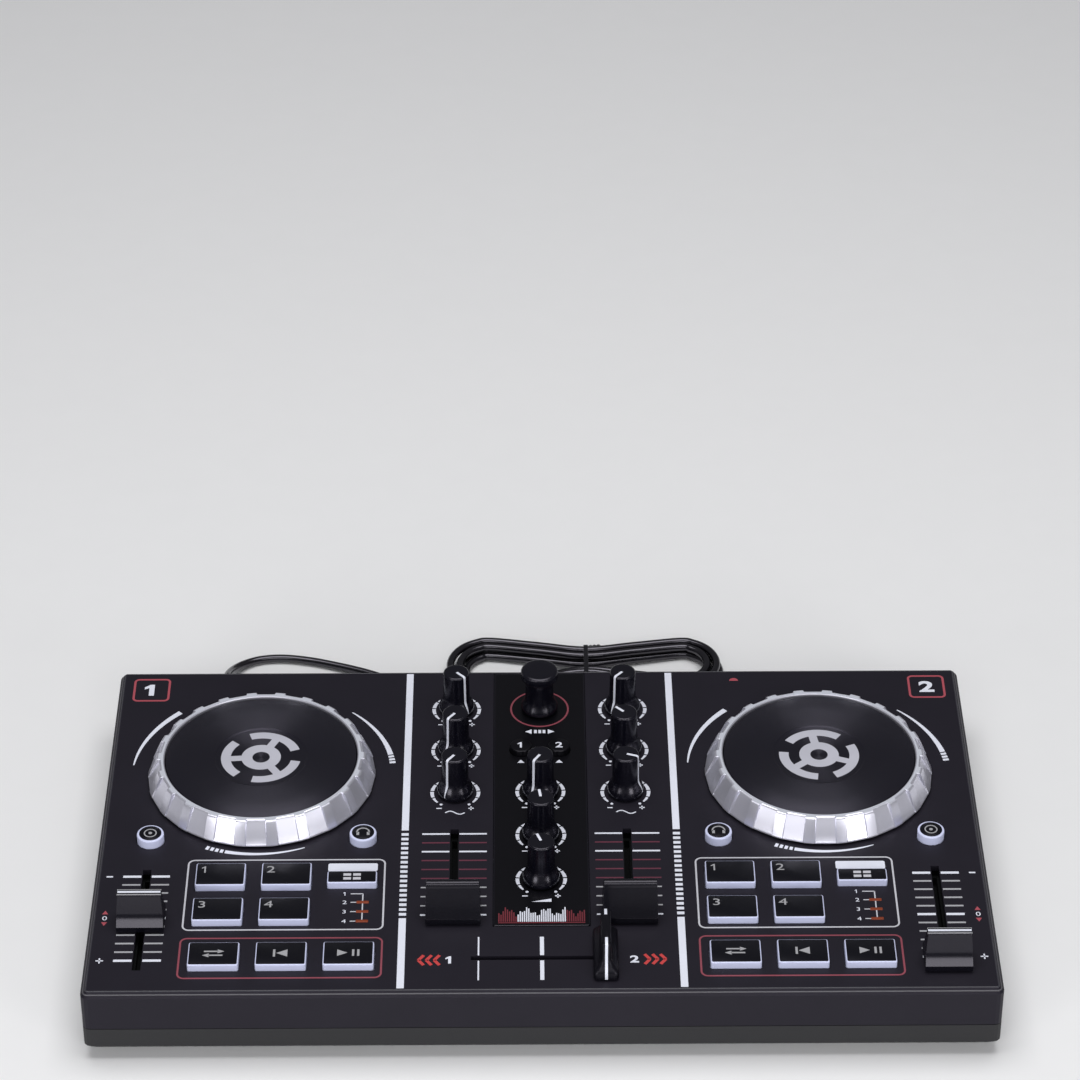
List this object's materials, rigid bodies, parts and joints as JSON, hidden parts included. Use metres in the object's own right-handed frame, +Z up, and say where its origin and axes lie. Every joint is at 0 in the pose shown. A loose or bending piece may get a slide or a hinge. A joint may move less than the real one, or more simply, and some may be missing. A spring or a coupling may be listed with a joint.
{
  "type": "dj controller",
  "caption": "Flat DJ controller with turning jog wheels and knobs, sliding faders, keys and pads that press, and a USB lead tied in a hank behind it.",
  "frame": {"origin": "on the desk, under the middle of the body, with the lead left out", "axes": "+X to the player's right, +Y to the back, +Z up"},
  "size_m": [0.36, 0.2671, 0.0554],
  "materials": {
    "panel_plastic": "satin charcoal, fine moulded grain",
    "gloss_black": "semi-gloss black",
    "case_plastic": "moulded black, textured",
    "circuit_board": "green solder mask",
    "foot_rubber": "matt black rubber",
    "jog_silver": "silver lacquer",
    "jog_black": "satin black",
    "steel": "bright steel",
    "knob_rubber": "soft-touch black",
    "fader_plastic": "satin black",
    "pad_white": "translucent white with a black top",
    "jack_plastic": "black",
    "cord_vinyl": "smooth black vinyl"
  },
  "bodies": {
    "housing": {"bottom_case": "case_plastic", "cord_gland": "foot_rubber", "cord_hank": "cord_vinyl", "cord_lead": "cord_vinyl", "cord_tie": "foot_rubber", "foot_front_left": "foot_rubber", "foot_front_right": "foot_rubber", "foot_rear_left": "foot_rubber", "foot_rear_right": "foot_rubber", "headphone_jack": "jack_plastic", "jog_spindle_left": "steel", "jog_spindle_right": "steel", "main_board": "circuit_board", "main_output_jack": "jack_plastic", "mixer_faceplate": "gloss_black", "top_cover": "panel_plastic", "usb_plug_grip": "cord_vinyl", "usb_plug_shell": "steel"},
    "jog_left": {"jog_ring_left": "jog_silver", "jog_plate_left": "jog_black"},
    "jog_right": {"jog_ring_right": "jog_silver", "jog_plate_right": "jog_black"},
    "treble_knob_left": {"treble_knob_left": "knob_rubber"},
    "mid_knob_left": {"mid_knob_left": "knob_rubber"},
    "bass_knob_left": {"bass_knob_left": "knob_rubber"},
    "treble_knob_right": {"treble_knob_right": "knob_rubber"},
    "mid_knob_right": {"mid_knob_right": "knob_rubber"},
    "bass_knob_right": {"bass_knob_right": "knob_rubber"},
    "master_gain_knob": {"master_gain_knob": "knob_rubber"},
    "cue_mix_knob": {"cue_mix_knob": "knob_rubber"},
    "cue_gain_knob": {"cue_gain_knob": "knob_rubber"},
    "browse_shaft": {"browse_shaft": "steel"},
    "browse_knob": {"browse_knob": "knob_rubber"},
    "pitch_fader_left": {"pitch_fader_left": "fader_plastic"},
    "pitch_fader_right": {"pitch_fader_right": "fader_plastic"},
    "line_fader_left": {"line_fader_left": "fader_plastic"},
    "line_fader_right": {"line_fader_right": "fader_plastic"},
    "crossfader": {"crossfader": "fader_plastic"},
    "cue_key_left": {"cue_key_left": "pad_white"},
    "cue_key_right": {"cue_key_right": "pad_white"},
    "headphone_key_left": {"headphone_key_left": "pad_white"},
    "headphone_key_right": {"headphone_key_right": "pad_white"},
    "load_key_1": {"load_key_1": "knob_rubber"},
    "load_key_2": {"load_key_2": "knob_rubber"},
    "pad_left_1": {"pad_left_1": "pad_white"},
    "pad_left_2": {"pad_left_2": "pad_white"},
    "pad_left_3": {"pad_left_3": "pad_white"},
    "pad_left_4": {"pad_left_4": "pad_white"},
    "pad_mode_key_left": {"pad_mode_key_left": "pad_white"},
    "pad_mode_key_right": {"pad_mode_key_right": "pad_white"},
    "pad_right_1": {"pad_right_1": "pad_white"},
    "pad_right_2": {"pad_right_2": "pad_white"},
    "pad_right_3": {"pad_right_3": "pad_white"},
    "pad_right_4": {"pad_right_4": "pad_white"},
    "play_key_left": {"play_key_left": "pad_white"},
    "play_key_right": {"play_key_right": "pad_white"},
    "scratch_key_left": {"scratch_key_left": "pad_white"},
    "scratch_key_right": {"scratch_key_right": "pad_white"},
    "sync_key_left": {"sync_key_left": "pad_white"},
    "sync_key_right": {"sync_key_right": "pad_white"}
  },
  "joints": [
    {"name": "jog_left_spin", "type": "hinge", "parent": "housing", "child": "jog_left", "pos_m": [-0.1157, 0.031, 0.034], "axis": [0, 0, 1], "continuous": true},
    {"name": "jog_right_spin", "type": "hinge", "parent": "housing", "child": "jog_right", "pos_m": [0.1157, 0.031, 0.034], "axis": [0, 0, 1], "continuous": true},
    {"name": "treble_knob_left_turn", "type": "hinge", "parent": "housing", "child": "treble_knob_left", "pos_m": [-0.0352, 0.0757, 0.034], "axis": [0, 0, 1], "range_deg": [-12, 288]},
    {"name": "mid_knob_left_turn", "type": "hinge", "parent": "housing", "child": "mid_knob_left", "pos_m": [-0.0352, 0.0477, 0.034], "axis": [0, 0, 1], "range_deg": [-294, 6]},
    {"name": "bass_knob_left_turn", "type": "hinge", "parent": "housing", "child": "bass_knob_left", "pos_m": [-0.0352, 0.0197, 0.034], "axis": [0, 0, 1], "range_deg": [-295, 5]},
    {"name": "treble_knob_right_turn", "type": "hinge", "parent": "housing", "child": "treble_knob_right", "pos_m": [0.0352, 0.0757, 0.034], "axis": [0, 0, 1], "range_deg": [-290, 10]},
    {"name": "mid_knob_right_turn", "type": "hinge", "parent": "housing", "child": "mid_knob_right", "pos_m": [0.0352, 0.0477, 0.034], "axis": [0, 0, 1], "range_deg": [-196, 104]},
    {"name": "bass_knob_right_turn", "type": "hinge", "parent": "housing", "child": "bass_knob_right", "pos_m": [0.0352, 0.0197, 0.034], "axis": [0, 0, 1], "range_deg": [-39, 261]},
    {"name": "master_gain_knob_turn", "type": "hinge", "parent": "housing", "child": "master_gain_knob", "pos_m": [0, 0.0197, 0.034], "axis": [0, 0, 1], "range_deg": [-299, 1]},
    {"name": "cue_mix_knob_turn", "type": "hinge", "parent": "housing", "child": "cue_mix_knob", "pos_m": [0, -0.0083, 0.034], "axis": [0, 0, 1], "range_deg": [-158, 142]},
    {"name": "cue_gain_knob_turn", "type": "hinge", "parent": "housing", "child": "cue_gain_knob", "pos_m": [0, -0.0363, 0.034], "axis": [0, 0, 1], "range_deg": [-171, 129]},
    {"name": "browse_push", "type": "slide", "parent": "housing", "child": "browse_shaft", "axis": [0, 0, -1], "range_m": [0, 0.0005], "stiffness_N_per_m": 800, "springref_m": -0.001},
    {"name": "browse_turn", "type": "hinge", "parent": "browse_shaft", "child": "browse_knob", "pos_m": [0, 0.0757, 0.034], "axis": [0, 0, 1], "continuous": true},
    {"name": "pitch_fader_left_slide", "type": "slide", "parent": "housing", "child": "pitch_fader_left", "axis": [0, 1, 0], "range_m": [-0.0255, 0.0295]},
    {"name": "pitch_fader_right_slide", "type": "slide", "parent": "housing", "child": "pitch_fader_right", "axis": [0, 1, 0], "range_m": [0, 0.055]},
    {"name": "line_fader_left_slide", "type": "slide", "parent": "housing", "child": "line_fader_left", "axis": [0, 1, 0], "range_m": [0, 0.0505]},
    {"name": "line_fader_right_slide", "type": "slide", "parent": "housing", "child": "line_fader_right", "axis": [0, 1, 0], "range_m": [0, 0.0505]},
    {"name": "crossfader_slide", "type": "slide", "parent": "housing", "child": "crossfader", "axis": [1, 0, 0], "range_m": [-0.05, 0]},
    {"name": "cue_key_left_press", "type": "slide", "parent": "housing", "child": "cue_key_left", "axis": [0, 0, -1], "range_m": [0, 0.0012], "stiffness_N_per_m": 500, "springref_m": -0.001},
    {"name": "cue_key_right_press", "type": "slide", "parent": "housing", "child": "cue_key_right", "axis": [0, 0, -1], "range_m": [0, 0.0012], "stiffness_N_per_m": 500, "springref_m": -0.001},
    {"name": "headphone_key_left_press", "type": "slide", "parent": "housing", "child": "headphone_key_left", "axis": [0, 0, -1], "range_m": [0, 0.0012], "stiffness_N_per_m": 500, "springref_m": -0.001},
    {"name": "headphone_key_right_press", "type": "slide", "parent": "housing", "child": "headphone_key_right", "axis": [0, 0, -1], "range_m": [0, 0.0012], "stiffness_N_per_m": 500, "springref_m": -0.001},
    {"name": "load_key_1_press", "type": "slide", "parent": "housing", "child": "load_key_1", "axis": [0, 0, -1], "range_m": [0, 0.0012], "stiffness_N_per_m": 500, "springref_m": -0.001},
    {"name": "load_key_2_press", "type": "slide", "parent": "housing", "child": "load_key_2", "axis": [0, 0, -1], "range_m": [0, 0.0012], "stiffness_N_per_m": 500, "springref_m": -0.001},
    {"name": "pad_left_1_press", "type": "slide", "parent": "housing", "child": "pad_left_1", "axis": [0, 0, -1], "range_m": [0, 0.0012], "stiffness_N_per_m": 500, "springref_m": -0.001},
    {"name": "pad_left_2_press", "type": "slide", "parent": "housing", "child": "pad_left_2", "axis": [0, 0, -1], "range_m": [0, 0.0012], "stiffness_N_per_m": 500, "springref_m": -0.001},
    {"name": "pad_left_3_press", "type": "slide", "parent": "housing", "child": "pad_left_3", "axis": [0, 0, -1], "range_m": [0, 0.0012], "stiffness_N_per_m": 500, "springref_m": -0.001},
    {"name": "pad_left_4_press", "type": "slide", "parent": "housing", "child": "pad_left_4", "axis": [0, 0, -1], "range_m": [0, 0.0012], "stiffness_N_per_m": 500, "springref_m": -0.001},
    {"name": "pad_mode_key_left_press", "type": "slide", "parent": "housing", "child": "pad_mode_key_left", "axis": [0, 0, -1], "range_m": [0, 0.0012], "stiffness_N_per_m": 500, "springref_m": -0.001},
    {"name": "pad_mode_key_right_press", "type": "slide", "parent": "housing", "child": "pad_mode_key_right", "axis": [0, 0, -1], "range_m": [0, 0.0012], "stiffness_N_per_m": 500, "springref_m": -0.001},
    {"name": "pad_right_1_press", "type": "slide", "parent": "housing", "child": "pad_right_1", "axis": [0, 0, -1], "range_m": [0, 0.0012], "stiffness_N_per_m": 500, "springref_m": -0.001},
    {"name": "pad_right_2_press", "type": "slide", "parent": "housing", "child": "pad_right_2", "axis": [0, 0, -1], "range_m": [0, 0.0012], "stiffness_N_per_m": 500, "springref_m": -0.001},
    {"name": "pad_right_3_press", "type": "slide", "parent": "housing", "child": "pad_right_3", "axis": [0, 0, -1], "range_m": [0, 0.0012], "stiffness_N_per_m": 500, "springref_m": -0.001},
    {"name": "pad_right_4_press", "type": "slide", "parent": "housing", "child": "pad_right_4", "axis": [0, 0, -1], "range_m": [0, 0.0012], "stiffness_N_per_m": 500, "springref_m": -0.001},
    {"name": "play_key_left_press", "type": "slide", "parent": "housing", "child": "play_key_left", "axis": [0, 0, -1], "range_m": [0, 0.0012], "stiffness_N_per_m": 500, "springref_m": -0.001},
    {"name": "play_key_right_press", "type": "slide", "parent": "housing", "child": "play_key_right", "axis": [0, 0, -1], "range_m": [0, 0.0012], "stiffness_N_per_m": 500, "springref_m": -0.001},
    {"name": "scratch_key_left_press", "type": "slide", "parent": "housing", "child": "scratch_key_left", "axis": [0, 0, -1], "range_m": [0, 0.0012], "stiffness_N_per_m": 500, "springref_m": -0.001},
    {"name": "scratch_key_right_press", "type": "slide", "parent": "housing", "child": "scratch_key_right", "axis": [0, 0, -1], "range_m": [0, 0.0012], "stiffness_N_per_m": 500, "springref_m": -0.001},
    {"name": "sync_key_left_press", "type": "slide", "parent": "housing", "child": "sync_key_left", "axis": [0, 0, -1], "range_m": [0, 0.0012], "stiffness_N_per_m": 500, "springref_m": -0.001},
    {"name": "sync_key_right_press", "type": "slide", "parent": "housing", "child": "sync_key_right", "axis": [0, 0, -1], "range_m": [0, 0.0012], "stiffness_N_per_m": 500, "springref_m": -0.001}
  ]
}
